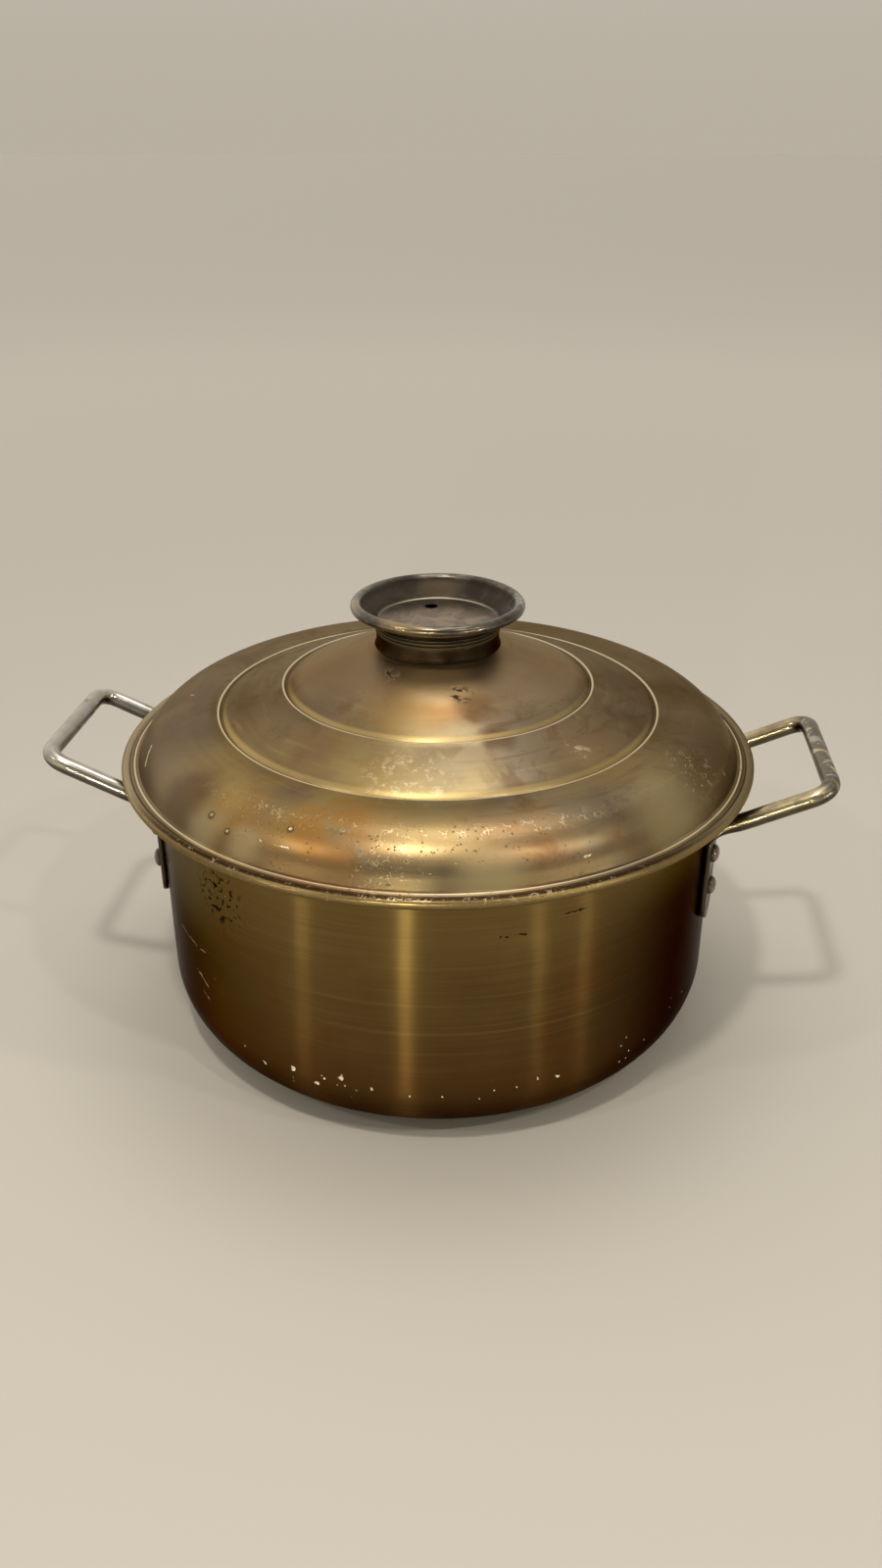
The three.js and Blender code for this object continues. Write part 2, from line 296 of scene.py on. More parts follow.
def build_lid():
    seat = (SEAT_RADIUS, SEAT_RISE)
    inner_foot = (INNER_GROOVE[0] - GROOVE_FOOT, INNER_GROOVE[1] - GROOVE_DEPTH)
    outer_foot = (OUTER_GROOVE[0] - GROOVE_FOOT, OUTER_GROOVE[1] - GROOVE_DEPTH)
    inner_crest = (INNER_GROOVE[0] + 2.2, INNER_GROOVE[1] - 0.3)
    roll_centre = (LID_EDGE_RADIUS - LID_EDGE_ROLL, CREASE_HEIGHT - 1.9)
    top = [
        (0, LID_TOP),
        *line((0, LID_TOP), (SEAT_RADIUS - 1, LID_TOP), 5),
        (SEAT_RADIUS - 1, LID_TOP),
        *tier(seat, inner_foot, INNER_CONE, 26)[1:],
        *groove(*INNER_GROOVE),
        *tier(inner_crest, outer_foot, OUTER_CONE, 26),
        *groove(*OUTER_GROOVE),
        *outer_tier(OUTER_GROOVE[0] + 2.2, SHOULDER_RADIUS, 0, 34),
        (SHOULDER_RADIUS + 0.7, CREASE_HEIGHT + 0.62),
        (SHOULDER_RADIUS + 1.8, CREASE_HEIGHT + 0.38),
        (SHOULDER_RADIUS + 2.5, CREASE_HEIGHT + 0.46),
        (SHOULDER_RADIUS + 3.1, CREASE_HEIGHT + 0.3),
        (SHOULDER_RADIUS + 3.6, CREASE_HEIGHT - 0.05),
        (SHOULDER_RADIUS + 4.2, CREASE_HEIGHT - 0.25),
        *arc(*roll_centre, LID_EDGE_ROLL, 142, 22, 12),
        *arc(roll_centre[0] + 0.25, roll_centre[1] - 0.2, LID_EDGE_ROLL - 0.35, 8, -120, 12),
    ]
    under_seat = LID_TOP - LID_SHEET
    under = [
        (SHOULDER_RADIUS + 3.6, CREASE_HEIGHT - LID_SHEET - 0.9),
        (SHOULDER_RADIUS + 1, CREASE_HEIGHT - LID_SHEET),
        (SHOULDER_RADIUS - LID_SHEET, CREASE_HEIGHT + 0.6),
        *outer_tier(OUTER_GROOVE[0] - 0.5, SHOULDER_RADIUS - LID_SHEET - 0.4, LID_SHEET + 0.2, 24)[::-1],
        *tier(inner_crest, outer_foot, OUTER_CONE, 12, LID_SHEET)[-2::-1],
        *tier((SEAT_RADIUS - 1, SEAT_RISE), inner_foot, INNER_CONE, 12, LID_SHEET)[-2::-1],
        *line((SEAT_RADIUS - 1, under_seat), (0, under_seat), 5),
        (0, under_seat),
    ]
    return lathe("lid_cover", top + under, WIDE_SEGMENTS, shift=lid_shape)


# ---------------- knob
def build_collar():
    foot = COLLAR_BOX[0].z / MM - 0.25
    top = COLLAR_BOX[1].z / MM + 0.25
    profile = [
        (COLLAR_INSIDE, foot),
        (COLLAR_RADIUS + 0.7, foot),
        (COLLAR_RADIUS + 0.4, foot + 0.7),
        (COLLAR_RADIUS, foot + 1.6),
        *line((COLLAR_RADIUS, foot + 1.6), (COLLAR_RADIUS - 0.5, top - 4.6), 4),
        (COLLAR_RADIUS - 0.5, top - 4.6),
        *arc(COLLAR_RADIUS - 0.6, top - 3.7, 0.8, -70, 70, 6),
        (COLLAR_RADIUS - 0.5, top - 2.8),
        *arc(COLLAR_RADIUS - 0.1, top - 1.7, 0.9, -70, 70, 6),
        (COLLAR_RADIUS - 0.2, top - 0.4),
        (COLLAR_RADIUS - 0.2, top),
        (COLLAR_INSIDE, top),
    ]
    return lathe("knob_neck", profile, COLLAR_SEGMENTS, closed=True)


def dish_shape(angle, r, z):
    """The bead is hand-finished, so it waves a little."""
    share = smoothstep(r, 33, 40)
    return r + share * waves(angle, 0, 0.3, 8, 31), z + share * waves(angle, 0, 0.35, 6, 37)


def build_dish():
    bead_height = DISH_UNDERSIDE + BEAD_RISE
    floor = DISH_UNDERSIDE + DISH_SHEET
    under_bead = (BEAD_RADIUS - 2.2, bead_height - 2.2)
    in_bead = (BEAD_RADIUS - BEAD_TUBE - 0.2, bead_height - 0.6)
    profile = [
        (0, DISH_UNDERSIDE),
        *line((0, DISH_UNDERSIDE), (DISH_FLOOR_RADIUS, DISH_UNDERSIDE), 6),
        *arc(DISH_FLOOR_RADIUS, DISH_UNDERSIDE + 3, 3, -90, -35, 6),
        *line((DISH_FLOOR_RADIUS + 2.4, DISH_UNDERSIDE + 1.2), under_bead, 8),
        *arc(BEAD_RADIUS, bead_height, BEAD_TUBE, -128, 168, 30),
        *line(in_bead, (DISH_FLOOR_RADIUS + 2.1, floor + 1.5), 8),
        *arc(DISH_FLOOR_RADIUS - 0.2, floor + 2.6, 2.6, -32, -90, 6),
        *line((DISH_FLOOR_RADIUS - 0.2, floor), (0, floor + 0.3), 10),
        (0, floor + 0.3),
    ]
    dish = lathe("knob_bowl", profile, DISH_SEGMENTS, shift=dish_shape)
    reach = 6  # well past both faces of the floor
    section = [(0, -reach), (VENT_RADIUS, -reach), (VENT_RADIUS, reach), (0, reach)]
    hole = lathe("vent_cutter", section, SMALL_SEGMENTS)
    hole.location = Vector((*VENT_PLACE, floor)) * MM
    cut(dish, hole)
    smooth(dish.data, SHARP_DEGREES)
    return dish


# ---------------- handles
PADDLE_BEND = 4  # the setback where the paddle turns into the arm
PRESS_REACH = 1.6  # how sharply forging flattens the rod
NARROWEST_END = 0.3  # of the paddle's width, at its rounded end


def rounded_path(corners, setbacks, steps):
    """Points along a path through these corners, each inner corner rounded from and to its setback."""
    points = [corners[0]]
    start = corners[0]
    for before, corner, after, setback in zip(corners, corners[1:], corners[2:], setbacks):
        arrive = corner + (before - corner).normalized() * setback
        leave = corner + (after - corner).normalized() * setback
        count = max(2, round((arrive - start).length / PATH_STEP))
        points += [start.lerp(arrive, i / count) for i in range(1, count + 1)]
        for i in range(1, steps + 1):
            share = i / steps
            points.append(arrive.lerp(corner, share).lerp(corner.lerp(leave, share), share))
        start = leave
    count = max(2, round((corners[-1] - start).length / PATH_STEP))
    return points + [start.lerp(corners[-1], i / count) for i in range(1, count + 1)]


def forge(point):
    """Moves a point of the round rod to where forging leaves it: a flat, wide paddle on the wall."""
    if point.z >= PADDLE_ROUND_TO:
        return point
    side = math.copysign(1, point.y)
    out = Vector((math.cos(PADDLE_ANGLE), side * math.sin(PADDLE_ANGLE)))
    along = Vector((-out.y, out.x))
    flat = 1 - smoothstep(point.z, PADDLE_FLAT_FROM, PADDLE_ROUND_TO)
    radial = point.xy.dot(out) - PADDLE_MIDDLE
    sideways = point.xy.dot(along)
    half = PADDLE_THICKNESS / 2
    pressed = half * math.tanh(radial / PRESS_REACH)
    from_end = min(1, max(0, point.z - PADDLE_BOTTOM) / PADDLE_HALF_WIDTH)
    round_end = max(NARROWEST_END, math.sqrt(1 - (1 - from_end) ** 2))
    widen = lerp(1, PADDLE_HALF_WIDTH / ROD_RADIUS * round_end, flat)
    place_xy = out * (PADDLE_MIDDLE + lerp(radial, pressed, flat)) + along * (sideways * widen)
    return Vector((place_xy.x, place_xy.y, point.z))


def build_handle(name, turn):
    arm_foot = math.sqrt((PADDLE_BACK + ROD_RADIUS) ** 2 - ROD_HALF_SPACING**2)
    paddle_foot = math.sqrt(PADDLE_MIDDLE**2 - ROD_HALF_SPACING**2)
    bend_height = HANDLE_HEIGHT - (HANDLE_REACH - arm_foot) * ROD_SLOPE
    arm = [
        (paddle_foot, PADDLE_BOTTOM),
        (paddle_foot, PADDLE_FLAT_FROM - 2),
        (arm_foot, bend_height),
        (HANDLE_REACH, HANDLE_HEIGHT),
    ]
    back = [Vector((x, ROD_HALF_SPACING, z)) for x, z in arm]
    front = [Vector((x, -ROD_HALF_SPACING, z)) for x, z in reversed(arm)]
    setbacks = [PADDLE_BEND, WALL_BEND, HANDLE_CORNER, HANDLE_CORNER, WALL_BEND, PADDLE_BEND]
    path = rounded_path(back + front, setbacks, CORNER_STEPS)
    sides = ROD_SIDES
    vertices = []
    across = Vector((0, 1, 0))
    rotation = Matrix.Rotation(turn, 3, "Z")
    for i, centre in enumerate(path):
        ahead = (path[min(i + 1, len(path) - 1)] - path[max(i - 1, 0)]).normalized()
        across = (across - ahead * across.dot(ahead)).normalized()
        up = ahead.cross(across)
        uneven = 1 + 0.012 * noise.noise(centre * 0.07 + Vector((turn, 0, 0)))
        for k in range(sides):
            angle = 2 * math.pi * k / sides
            offset = (across * math.cos(angle) + up * math.sin(angle)) * ROD_RADIUS * uneven
            vertices.append(rotation @ forge(centre + offset) * MM)
    faces = []
    for i in range(len(path) - 1):
        for k in range(sides):
            j = (k + 1) % sides
            faces.append((i * sides + k, i * sides + j, (i + 1) * sides + j, (i + 1) * sides + k))
    last = (len(path) - 1) * sides
    faces.append(tuple(range(sides)))
    faces.append(tuple(range(last, last + sides)))
    return new_object(name, vertices, faces, sharp_degrees=ROD_SHARP_DEGREES)


def build_rivet(name, angle, height):
    """A rivet along its own Z, with its origin where the head meets the paddle."""
    head_radius, head_height = RIVET_HEAD
    tail_radius, tail_height = RIVET_TAIL
    head = PADDLE_BACK + PADDLE_THICKNESS
    tail = POT_RADIUS - WALL - 0.2 - head
    dome = [
        (head_radius * math.sqrt(1 - (i / 10) ** RIVET_DOME_POWER), head_height * i / 10)
        for i in range(1, 10)
    ]
    profile = [
        (0, tail - tail_height),
        (tail_radius * 0.7, tail - tail_height),
        (tail_radius * 0.93, tail - tail_height * 0.7),
        (tail_radius, tail - 0.3),
        (tail_radius, tail),
        (RIVET_SHANK, tail),
        (RIVET_SHANK, 0),
        (head_radius - 0.1, 0),
        (head_radius, 0.25),
        *dome,
        (0, head_height),
    ]
    seed = angle * 7 + height

    def hammered(a, r, z):
        return r * (1 + waves(a, z * 9, 0.06, 4, seed)), z

    rivet = lathe(name, profile, SMALL_SEGMENTS, shift=hammered)
    rivet.matrix_world = (
        Matrix.Rotation(angle, 4, "Z")
        @ Matrix.Translation(Vector((head, 0, height)) * MM)
        @ Matrix.Rotation(math.pi / 2, 4, "Y")
    )
    return rivet


# ---------------- material helpers
# Sockets of the Mix node in its colour mode
MIX_FACTOR, MIX_A, MIX_B, MIX_RESULT = 0, 6, 7, 2
QUARTER_TURN = 0.25  # of anisotropic rotation, which lays the highlight across the turning marks
STROKE_SOFT = 0.6


def add_node(tree, kind, inputs=None, **settings):
    """A shader node. An input that is another node's output is linked, and a constant goes on its socket."""
    made = tree.nodes.new(kind)
    for key, value in settings.items():
        setattr(made, key, value)
    for key, value in (inputs or {}).items():
        socket = made.inputs[key]
        if isinstance(value, bpy.types.NodeSocket):
            tree.links.new(value, socket)
        elif socket.type == "RGBA":
            socket.default_value = (*value, 1.0)
        else:
            socket.default_value = value
    return made


class Metal:
    """One metal's node tree, built up from masks on the object's own coordinates."""

    def __init__(self, name, anisotropy=0.0, edge_tint=(1, 1, 1)):
        self.material = bpy.data.materials.new(name)
        self.material.use_nodes = True
        self.tree = self.material.node_tree
        self.tree.nodes.clear()
        inputs = {"Metallic": 1.0, "Anisotropic": anisotropy, "Specular Tint": edge_tint}
        self.shader = self.node("ShaderNodeBsdfPrincipled", inputs)
        self.node("ShaderNodeOutputMaterial", {"Surface": self.shader.outputs["BSDF"]})
        self.at = self.node("ShaderNodeTexCoord").outputs["Object"]
        self.x, self.y, self.z = self.node("ShaderNodeSeparateXYZ", {"Vector": self.at}).outputs
        self.radius = self.math("SQRT", self.plus(self.times(self.x, self.x), self.times(self.y, self.y)))
        self.colour = None
        if anisotropy:
            self.shader.inputs["Anisotropic Rotation"].default_value = QUARTER_TURN
            around = self.node("ShaderNodeTangent", direction_type="RADIAL", axis="Z")
            self.tree.links.new(around.outputs["Tangent"], self.shader.inputs["Tangent"])

    def node(self, kind, inputs=None, **settings):
        return add_node(self.tree, kind, inputs, **settings)

    def vector(self, operation, a, b=None, **more):
        inputs = {0: a, **more} if b is None else {0: a, 1: b, **more}
        return self.node("ShaderNodeVectorMath", inputs, operation=operation).outputs

    def math(self, operation, a, b=0.0, clamp=False):
        return self.node("ShaderNodeMath", {0: a, 1: b}, operation=operation, use_clamp=clamp).outputs[0]

    def band(self, value, low, high):
        """0 below low and 1 above high, smooth between them. It falls instead if low is above high."""
        inputs = {"Value": value, "From Min": low, "From Max": high}
        return self.node("ShaderNodeMapRange", inputs, interpolation_type="SMOOTHSTEP").outputs["Result"]

    def zone(self, value, low, high):
        """A band whose limits are in millimetres."""
        return self.band(value, low * MM, high * MM)

    def plus(self, a, b, clamp=False):
        return self.math("ADD", a, b, clamp)

    def minus(self, a, b, clamp=False):
        return self.math("SUBTRACT", a, b, clamp)

    def times(self, *masks):
        product = masks[0]
        for mask in masks[1:]:
            product = self.math("MULTIPLY", product, mask)
        return product

    def most(self, *masks):
        largest = masks[0]
        for mask in masks[1:]:
            largest = self.math("MAXIMUM", largest, mask)
        return largest

    def scaled(self, x, y, z):
        return self.vector("MULTIPLY", self.at, (x, y, z))[0]

    def noise(self, scale, detail, rough=0.5, vector=None, warp=0.0, seed=0.0):
        inputs = {"Vector": vector or self.at, "W": seed, "Scale": scale, "Detail": detail}
        inputs |= {"Roughness": rough, "Distortion": warp}
        return self.node("ShaderNodeTexNoise", inputs, noise_dimensions="4D").outputs[0]

    def cells(self, scale, vector=None, feature="F1"):
        inputs = {"Vector": vector or self.at, "Scale": scale}
        return self.node("ShaderNodeTexVoronoi", inputs, feature=feature).outputs["Distance"]

    def turning(self, around, out, reach=None):
        """Coordinates stretched along a lathe's marks, with out as the scale along the radius or the reach."""
        x, y = self.times(self.x, around), self.times(self.y, around)
        inputs = {0: x, 1: y, 2: self.times(reach or self.radius, out)}
        return self.node("ShaderNodeCombineXYZ", inputs).outputs[0]

    def blend(self, factor, a, b):
        inputs = {MIX_FACTOR: factor, MIX_A: a, MIX_B: b}
        return self.node("ShaderNodeMix", inputs, data_type="RGBA").outputs[MIX_RESULT]

    def paint(self, mask, weight, over):
        """Lays a colour over what is there so far, where the mask is, at this strength."""
        self.colour = self.blend(self.times(mask, weight), self.colour, over)

    def rough_place(self, amount, scale):
        """The object's coordinates pushed about by noise, so that a stain has a ragged edge."""
        moved = self.node("ShaderNodeTexNoise", {"Vector": self.at, "Scale": scale, "Detail": 4.0}).outputs[1]
        centred = self.vector("SUBTRACT", moved, (0.5, 0.5, 0.5))[0]
        return self.vector("ADD", self.at, self.vector("SCALE", centred, Scale=amount * MM)[0])[0]

    def within(self, away, size, soft):
        """1 nearer than size millimetres and 0 farther, with an edge as wide as soft says."""
        return self.zone(away, size * (1 + soft), size * (1 - soft))

    def spot(self, centre, size, soft, vector=None):
        """1 within size millimetres of a point and 0 away from it."""
        away = self.vector("DISTANCE", vector or self.at, tuple(centre))["Value"]
        return self.within(away, size, soft)

    def stains(self, vector, *spots):
        """The most of several spots, each (degrees, radius, height, size, soft, weight)."""
        masks = []
        for degrees, radius, height, size, soft, weight in spots:
            masks.append(self.times(self.spot(place(degrees, radius, height), size, soft, vector), weight))
        return self.most(*masks)

    def stroke(self, start, end, width, vector):
        """1 along the line between two points, as a scratch or smear is."""
        along = end - start
        offset = self.vector("SUBTRACT", vector, tuple(start))[0]
        share = self.vector("DOT_PRODUCT", offset, tuple(along / along.length_squared))["Value"]
        held = self.math("MULTIPLY", share, 1.0, clamp=True)
        nearest = self.vector("SCALE", tuple(along), Scale=held)[0]
        return self.within(self.vector("DISTANCE", offset, nearest)["Value"], width, STROKE_SOFT)

    def strokes(self, vector, *lines):
        """The most of several strokes, each (start, end, width), with its ends as (degrees, radius, height)."""
        ends = [(place(*start), place(*end), width) for start, end, width in lines]
        return self.most(*[self.stroke(*line, vector) for line in ends])

    def ring(self, radius, width, soft=0.8):
        """1 on the circle of this radius about the axis."""
        away = self.math("ABSOLUTE", self.minus(self.radius, radius * MM))
        return self.within(away, width, soft)

    def bump(self, height, strength, distance, below=None):
        inputs = {"Height": height, "Strength": strength, "Distance": distance * MM}
        if below:
            inputs["Normal"] = below
        return self.node("ShaderNodeBump", inputs).outputs["Normal"]

    def finish(self, roughness, normal, metallic=None):
        """Links what was built to the shader."""
        sources = {"Base Color": self.colour, "Roughness": roughness, "Normal": normal}
        if metallic:
            sources["Metallic"] = metallic
        for name, source in sources.items():
            self.tree.links.new(source, self.shader.inputs[name])
        return self.material


# ---------------- materials
def wall_brass():
    """The pot's outside: dark olive-brown brass, brushed around and specked by splashes, with painted dark
    reflection low down and at its sides.
    """
    m = Metal("wall_brass", anisotropy=1, edge_tint=(0.4, 0.37, 0.36))
    brush = m.noise(1, 2, 0.6, vector=m.scaled(14, 14, 1500))
    coarse = m.noise(1, 3, 0.5, vector=m.scaled(9, 9, 520), seed=2)
    drift = m.noise(9, 3, 0.55, seed=4)
    patches = m.noise(22, 4, 0.6, warp=0.6, seed=6)

    m.colour = m.blend(m.band(drift, 0.35, 0.68), (0.095, 0.058, 0.019), (0.15, 0.09, 0.03))
    m.paint(m.band(patches, 0.48, 0.72), 0.7, (0.12, 0.052, 0.014))
    upper = m.zone(m.z, 70, 150)
    m.paint(upper, 0.6, (0.21, 0.145, 0.052))
    m.paint(m.band(coarse, 0.5, 0.72), 0.3, (0.22, 0.15, 0.055))
    m.paint(m.band(brush, 0.45, 0.75), 0.3, (0.06, 0.038, 0.014))
    # painted reflection: redder and darker towards the bottom, standing in for a dark red floor reflected there
    low = m.zone(m.z, 75, 35)
    m.paint(low, 0.7, (0.1, 0.045, 0.014))
    # painted reflection: near black towards the heel, standing in for a dark floor reflected there; rougher
    # there too
    painted_dark_heel = m.zone(m.plus(m.z, m.times(patches, 26 * MM)), 58, 12)
    m.paint(painted_dark_heel, 0.86, (0.022, 0.013, 0.008))
    # painted reflection: darker towards the right and left edges below the top, standing in for dark
    # surroundings reflected there
    sides = m.most(m.zone(m.x, 70, 125), m.times(m.zone(m.x, -95, -130), 0.75))
    m.paint(m.times(sides, m.zone(m.z, 150, 105)), 0.85, (0.03, 0.018, 0.012))
    left_film = m.times(m.zone(m.x, -88, -124), m.zone(m.z, 76, 128))
    m.paint(left_film, 0.85, (0.24, 0.215, 0.13))

    ragged = m.rough_place(5, 260)
    scuff = m.times(m.spot(place(-131, 149, 118), 15, 0.5), m.band(m.noise(380, 2, seed=9), 0.55, 0.6))
    dashes = m.strokes(
        ragged,
        ((-64, 149, 129), (-60, 149, 129), 0.5),
        ((-76, 149, 122), (-71, 149, 123), 0.5),
    )
    marks = m.most(scuff, dashes)
    m.paint(marks, 0.95, (0.015, 0.009, 0.005))
    arcs = m.strokes(
        ragged,
        ((-142, 149, 62), (-138, 149, 57), 0.5),
        ((-149, 149, 79), (-143, 149, 77), 0.45),
        ((-143, 149, 77), (-138, 149, 78), 0.45),
        ((-140, 149, 51), (-138, 149, 49), 0.6),
    )
    m.paint(arcs, 0.85, (0.55, 0.48, 0.32))

    dots = m.cells(190)
    low_wall = m.times(m.zone(m.z, 24, 30), m.zone(m.z, 50, 34), m.zone(m.x, -75, -45))
    fine = m.times(m.band(dots, 0.13, 0.09), low_wall, m.band(m.noise(30, 1, seed=11), 0.5, 0.54))
    splashes = [
        (-127, 35, 0.5), (-122, 32, 0.8), (-115, 36, 1), (-110, 32, 1.1), (-105, 38, 1.3), (-102, 33, 0.6),
        (-99, 35, 0.8), (-92, 33, 0.5), (-86, 33, 0.6), (-79, 31, 0.5), (-64, 36, 1.1), (-68, 38, 0.4),
        (-72, 35, 0.5), (-135, 66, 0.35), (-121, 72, 0.35), (-125, 67, 0.3), (-119, 69, 0.3),
    ]  # degrees, height and size
    white = m.most(fine, *[m.spot(place(a, POT_RADIUS, z), size, 0.25, ragged) for a, z, size in splashes])
    m.paint(white, 1, (0.62, 0.58, 0.5))

    matte = m.most(white, m.times(painted_dark_heel, 0.6))
    rough = m.plus(m.times(coarse, 0.1), m.times(patches, 0.12))
    rough = m.plus(rough, m.plus(0.1, m.times(matte, 0.25)), clamp=True)
    normal = m.bump(brush, 0.25, 0.05)
    normal = m.bump(coarse, 0.04, 0.06, normal)
    normal = m.bump(m.minus(white, marks), 0.5, 0.3, normal)
    metallic = m.minus(1, m.times(white, 0.9), clamp=True)
    return m.finish(rough, normal, metallic)


def lid_brass():
    """The lid's top: tarnished brass turned on a lathe, golden and coppery at the front, stained and pitted;
    its crests, rolls, grooves and lip carry painted highlights and shade.
    """
    m = Metal("lid_brass", anisotropy=0.15, edge_tint=(0.6, 0.53, 0.42))
    turned = m.noise(1, 2, 0.6, vector=m.turning(10, 1300))
    cloud = m.noise(11, 4, 0.55, warp=0.4, seed=1)
    blotch = m.noise(26, 5, 0.62, warp=0.8, seed=3)
    fine = m.noise(240, 3, 0.6, seed=5)
    smears = m.noise(1, 4, 0.6, vector=m.turning(16, 190), warp=0.5, seed=10)

    m.colour = m.blend(m.band(cloud, 0.36, 0.66), (0.165, 0.127, 0.09), (0.255, 0.205, 0.15))
    m.paint(m.band(smears, 0.52, 0.66), 0.55, (0.13, 0.092, 0.052))
    m.paint(m.band(smears, 0.46, 0.34), 0.45, (0.32, 0.26, 0.165))
    olive = m.noise(17, 4, 0.6, warp=0.7, seed=8)
    m.paint(m.band(olive, 0.5, 0.66), 0.6, (0.25, 0.215, 0.13))
    m.paint(m.band(blotch, 0.53, 0.64), 0.65, (0.13, 0.082, 0.046))
    tea = m.noise(62, 5, 0.65, warp=1.2, seed=14)
    m.paint(m.band(tea, 0.55, 0.6), 0.35, (0.12, 0.075, 0.038))
    back_right = m.zone(m.minus(m.x, m.times(m.y, -0.6)), 30, 150)
    m.paint(back_right, 0.5, (0.12, 0.09, 0.06))
    ragged = m.rough_place(14, 45)
    amber = m.stains(
        ragged,
        (-100, 52, 202, 24, 0.7, 0.9), (-60, 50, 202, 20, 0.7, 0.6), (-122, 98, 183, 20, 0.8, 0.6),
        (-40, 100, 183, 24, 0.8, 0.5), (-140, 135, 172, 30, 0.8, 0.3),
    )
    m.paint(amber, 0.7, (0.26, 0.15, 0.055))
    brown = m.stains(
        ragged,
        (-158, 62, 198, 22, 0.7, 0.9), (-12, 60, 198, 20, 0.7, 0.8), (-168, 100, 183, 22, 0.8, 0.35),
        (-158, 140, 170, 24, 0.8, 1), (10, 98, 183, 20, 0.8, 0.7),
    )
    m.paint(brown, 0.75, (0.105, 0.08, 0.06))
    front = m.zone(m.y, -20, -125)
    golden = m.times(front, m.band(m.noise(14, 3, seed=7), 0.38, 0.62))
    m.paint(golden, 0.55, (0.42, 0.31, 0.105))
    copper = m.stains(
        ragged,
        (-105, 150, 165, 30, 0.6, 0.9), (-72, 151, 163, 26, 0.7, 0.5), (-50, 149, 166, 18, 0.7, 0.35),
        (-92, 50, 202, 22, 0.7, 0.7), (-122, 150, 165, 20, 0.7, 0.7),
    )
    m.paint(m.times(copper, m.band(blotch, 0.36, 0.56)), 0.7, (0.36, 0.165, 0.035))
    yellow = m.stains(
        ragged,
        (-88, 149, 166, 20, 0.7, 0.6), (-95, 108, 180, 16, 0.7, 0.25), (-98, 74, 192, 14, 0.7, 0.3),
    )
    m.paint(m.times(yellow, m.zone(m.radius, 155, 151)), 0.7, (0.32, 0.22, 0.065))
    under = m.times(m.ring(156, 2.2), m.zone(m.y, -100, -135))
    m.paint(under, 0.65, (0.19, 0.135, 0.075))
    inner = m.times(m.zone(m.radius, 78, 70), m.zone(m.y, -62, -30))
    m.paint(inner, 0.6, (0.37, 0.275, 0.175))
    dusk = m.stains(
        ragged,
        (-138, 150, 166, 17, 0.6, 0.95), (175, 120, 178, 40, 0.8, 0.15), (-150, 58, 198, 26, 0.8, 0.45),
        (-68, 62, 197, 9, 0.7, 0.7), (-66, 80, 188, 8, 0.6, 0.9), (9, 128, 176, 20, 0.8, 0.7),
        (-20, 140, 172, 26, 0.8, 0.45),
    )
    m.paint(dusk, 0.75, (0.09, 0.045, 0.02))
    pale = m.stains(
        ragged,
        (-78, 76, 190, 9, 0.6, 0.8), (-41, 151, 164, 18, 0.8, 0.7), (-88, 102, 182, 20, 0.9, 0.5),
        (-131, 156, 159, 11, 0.7, 0.9), (-121, 155, 160, 8, 0.7, 0.8), (-78, 157, 158, 14, 0.7, 0.7),
    )
    m.paint(pale, 0.65, (0.45, 0.38, 0.23))

    dull_left = m.times(m.zone(m.x, -84, -132), m.zone(m.radius, 116, 124))
    m.paint(dull_left, 0.6, (0.2, 0.165, 0.14))

    # painted highlight: light lines all round on the two turned crests and on the crease before the lip
    painted_crest_highlights = m.most(m.ring(80.9, 0.5), m.ring(115.1, 0.5), m.ring(159.6, 0.35))
    # painted highlight on the front half of the tiers' roll-overs and of the lip's outer edge
    painted_roll_highlights = m.most(m.ring(78, 1.1), m.ring(112.2, 1.2), m.times(m.ring(166, 0.5), 0.6))
    # painted shade: dark lines in the two grooves and in the groove before the lip
    painted_groove_shade = m.most(m.ring(79.7, 0.3, 0.6), m.ring(113.9, 0.3, 0.6), m.ring(161, 0.5))
    lip = m.zone(m.radius, 160.6, 161.6)
    m.paint(lip, 0.6, (0.25, 0.21, 0.14))
    m.paint(m.times(lip, m.zone(m.x, -80, -135)), 0.8, (0.42, 0.36, 0.26))
    # painted shade and highlight on the lip's front: darker against the lamps' reflection there, with a painted
    # highlight line and two painted dark bands
    lip_front = m.times(lip, m.zone(m.y, -70, -135))
    m.paint(lip_front, 0.9, (0.075, 0.042, 0.018))
    m.paint(m.times(lip_front, m.ring(163, 0.35)), 0.7, (0.6, 0.47, 0.26))
    m.paint(m.times(lip_front, m.ring(164.7, 0.9)), 0.85, (0.03, 0.015, 0.008))
    m.paint(m.times(lip_front, m.ring(161.5, 0.8)), 0.85, (0.03, 0.018, 0.01))
    # the painted highlight on the rolls, at the front
    m.paint(m.times(painted_roll_highlights, m.zone(m.y, 0, -60)), 0.5, (0.6, 0.45, 0.19))
    # the painted highlight on the crests
    m.paint(painted_crest_highlights, 0.85, (0.85, 0.76, 0.54))
    # the painted shade in the grooves
    m.paint(painted_groove_shade, 0.35, (0.05, 0.032, 0.016))
    # painted highlight: a bright golden line round the front of the neck's foot
    foot = m.times(m.ring(34.2, 0.7), m.zone(m.y, -18, -33))
    m.paint(foot, 0.85, (0.8, 0.6, 0.24))
    # painted light: brighter on the cone in front of the neck, against the dark reflection of the dish there
    neck = m.spot(place(-88, 40, 206), 15, 0.7, ragged)
    m.paint(neck, 0.6, (0.7, 0.52, 0.27))

